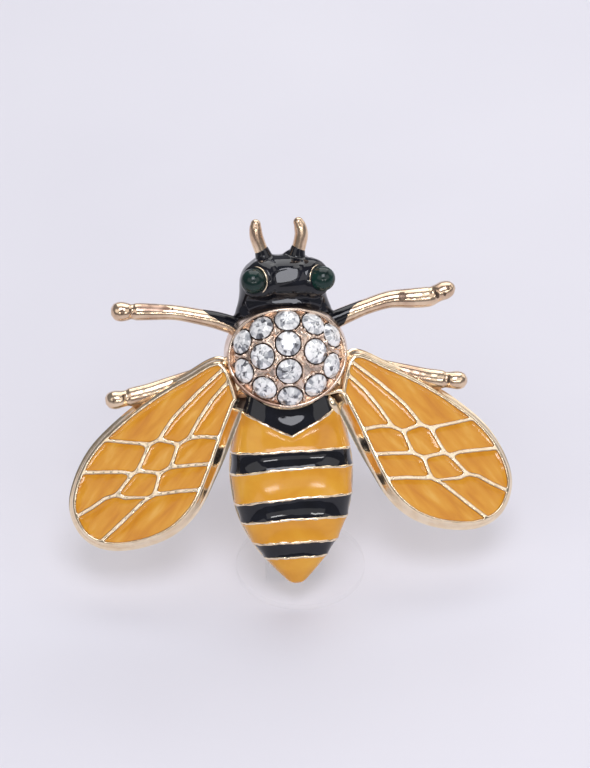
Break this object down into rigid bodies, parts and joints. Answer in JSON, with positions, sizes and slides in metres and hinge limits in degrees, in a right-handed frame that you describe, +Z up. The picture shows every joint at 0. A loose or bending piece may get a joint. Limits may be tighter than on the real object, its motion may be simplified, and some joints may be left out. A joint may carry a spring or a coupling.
{
  "type": "bee brooch on a clear display stand",
  "caption": "Gold-coloured bee brooch with orange enamelled wings, a banded abdomen, a domed thorax set with clear stones and green eyes, leant on a clear foot.",
  "frame": {"origin": "middle of the clear foot's underside, on the table", "axes": "+X to the viewer's right along the wing span, +Y away from the viewer to the back, +Z up; the bee leans back with its head up"},
  "size_m": [0.046, 0.0201, 0.036],
  "materials": {
    "gold_metal": "polished, pale gold plate",
    "pin_metal": "plated, plain",
    "wing_enamel": "translucent, glossy",
    "orange_enamel": "glossy",
    "black_enamel": "glossy",
    "clear_stone": "cut and polished",
    "green_glass": "polished, dark green",
    "clear_plastic": "clear, glossy"
  },
  "bodies": {
    "root": {"casting": "gold_metal", "head_enamel": "black_enamel", "leg_enamel_left": "black_enamel", "leg_enamel_right": "black_enamel", "band_1": "black_enamel", "band_2": "orange_enamel", "band_3": "black_enamel", "band_4": "orange_enamel", "band_5": "black_enamel", "band_6": "orange_enamel", "band_7": "black_enamel", "band_8": "orange_enamel", "eye_left": "green_glass", "eye_right": "green_glass", "pin_back": "pin_metal", "display_stand": "clear_plastic", "stone_01": "clear_stone", "stone_02": "clear_stone", "stone_03": "clear_stone", "stone_04": "clear_stone", "stone_05": "clear_stone", "stone_06": "clear_stone", "stone_07": "clear_stone", "stone_08": "clear_stone", "stone_09": "clear_stone", "stone_10": "clear_stone", "stone_11": "clear_stone", "stone_12": "clear_stone", "stone_13": "clear_stone", "stone_14": "clear_stone", "wing_right_01": "wing_enamel", "wing_right_02": "wing_enamel", "wing_right_03": "wing_enamel", "wing_right_04": "wing_enamel", "wing_right_05": "wing_enamel", "wing_right_06": "wing_enamel", "wing_right_07": "wing_enamel", "wing_right_08": "wing_enamel", "wing_right_09": "wing_enamel", "wing_right_10": "wing_enamel", "wing_right_11": "wing_enamel", "wing_left_01": "wing_enamel", "wing_left_02": "wing_enamel", "wing_left_03": "wing_enamel", "wing_left_04": "wing_enamel", "wing_left_05": "wing_enamel", "wing_left_06": "wing_enamel", "wing_left_07": "wing_enamel", "wing_left_08": "wing_enamel", "wing_left_09": "wing_enamel", "wing_left_10": "wing_enamel", "wing_left_11": "wing_enamel"}
  },
  "joints": []
}
